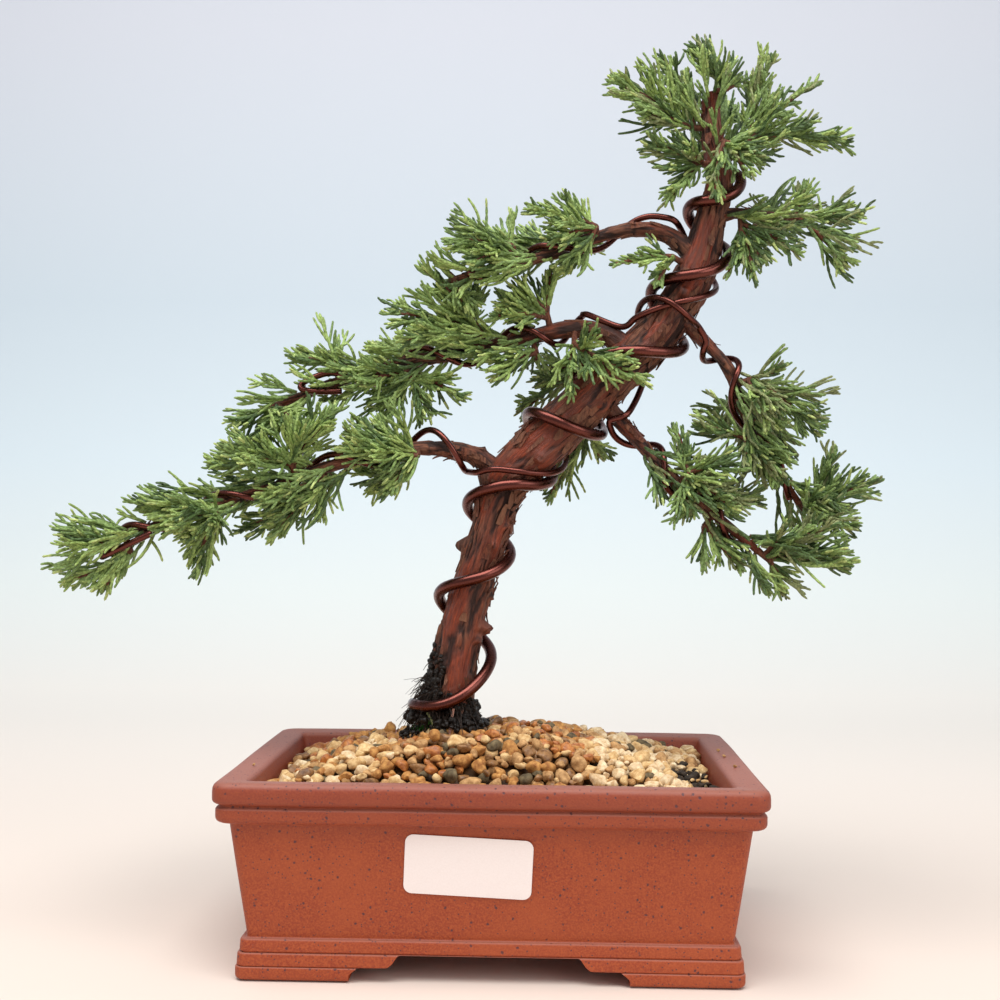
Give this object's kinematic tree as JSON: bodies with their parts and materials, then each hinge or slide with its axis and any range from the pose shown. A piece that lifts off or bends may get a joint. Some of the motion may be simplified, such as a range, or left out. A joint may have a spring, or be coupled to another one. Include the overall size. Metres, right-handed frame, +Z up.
{
  "type": "juniper bonsai in a pot",
  "caption": "Wired juniper bonsai with a leaning trunk, trained boughs and separate foliage masses, planted in gravel in a low rectangular clay pot.",
  "frame": {"origin": "on the ground under the pot, at the middle of the whole plant's box in x and y", "axes": "+Z up, +X to the viewer's right with the trunk leaning that way, -Y the front with the label"},
  "size_m": [0.3322, 0.138, 0.3645],
  "materials": {
    "terracotta": "unglazed satin clay, speckled",
    "gravel": "loose ochre and cream gravel grains",
    "peat": "matt fibrous peat and dry moss",
    "paper": "smooth white sticker paper, blank",
    "bark": "flaky reddish brown bark",
    "brown_wire": "copper-brown anodised satin",
    "foliage": "matt green scale foliage"
  },
  "bodies": {
    "root": {"pot": "terracotta", "soil": "gravel", "peat_collar": "peat", "label": "paper", "trunk": "bark", "bough_lower_left": "bark", "bough_middle_left": "bark", "bough_upper_left": "bark", "bough_lower_right": "bark", "bough_upper_right": "bark", "bough_top_right": "bark", "bough_apex_right": "bark", "wire_trunk": "brown_wire", "wire_lower_left": "brown_wire", "wire_left_pair": "brown_wire", "wire_right_pair": "brown_wire", "foliage_lower_left_inner": "foliage", "foliage_lower_left_top": "foliage", "foliage_lower_left_under": "foliage", "foliage_lower_left_outer": "foliage", "foliage_lower_left_tip": "foliage", "foliage_lower_left_back": "foliage", "foliage_middle_left_near": "foliage", "foliage_middle_left_under": "foliage", "foliage_middle_left_main": "foliage", "foliage_middle_left_rise": "foliage", "foliage_middle_left_mid": "foliage", "foliage_middle_left_hang": "foliage", "foliage_middle_left_outer": "foliage", "foliage_middle_left_tip": "foliage", "foliage_middle_left_back": "foliage", "foliage_upper_left_inner": "foliage", "foliage_upper_left_mid": "foliage", "foliage_upper_left_tip": "foliage", "foliage_upper_left_back": "foliage", "foliage_upper_left_sprig": "foliage", "foliage_apex_left": "foliage", "foliage_apex_low_left": "foliage", "foliage_apex_top": "foliage", "foliage_apex_front": "foliage", "foliage_apex_right": "foliage", "foliage_apex_back": "foliage", "foliage_right_top": "foliage", "foliage_right_top_low": "foliage", "foliage_right_top_back": "foliage", "foliage_upper_right_outer": "foliage", "foliage_upper_right_inner": "foliage", "foliage_upper_right_tip": "foliage", "foliage_upper_right_back": "foliage", "foliage_lower_right_inner": "foliage", "foliage_lower_right_under": "foliage", "foliage_lower_right_tip": "foliage", "foliage_lower_right_back": "foliage", "foliage_trunk_left_back": "foliage", "foliage_trunk_right_back": "foliage"}
  },
  "joints": []
}
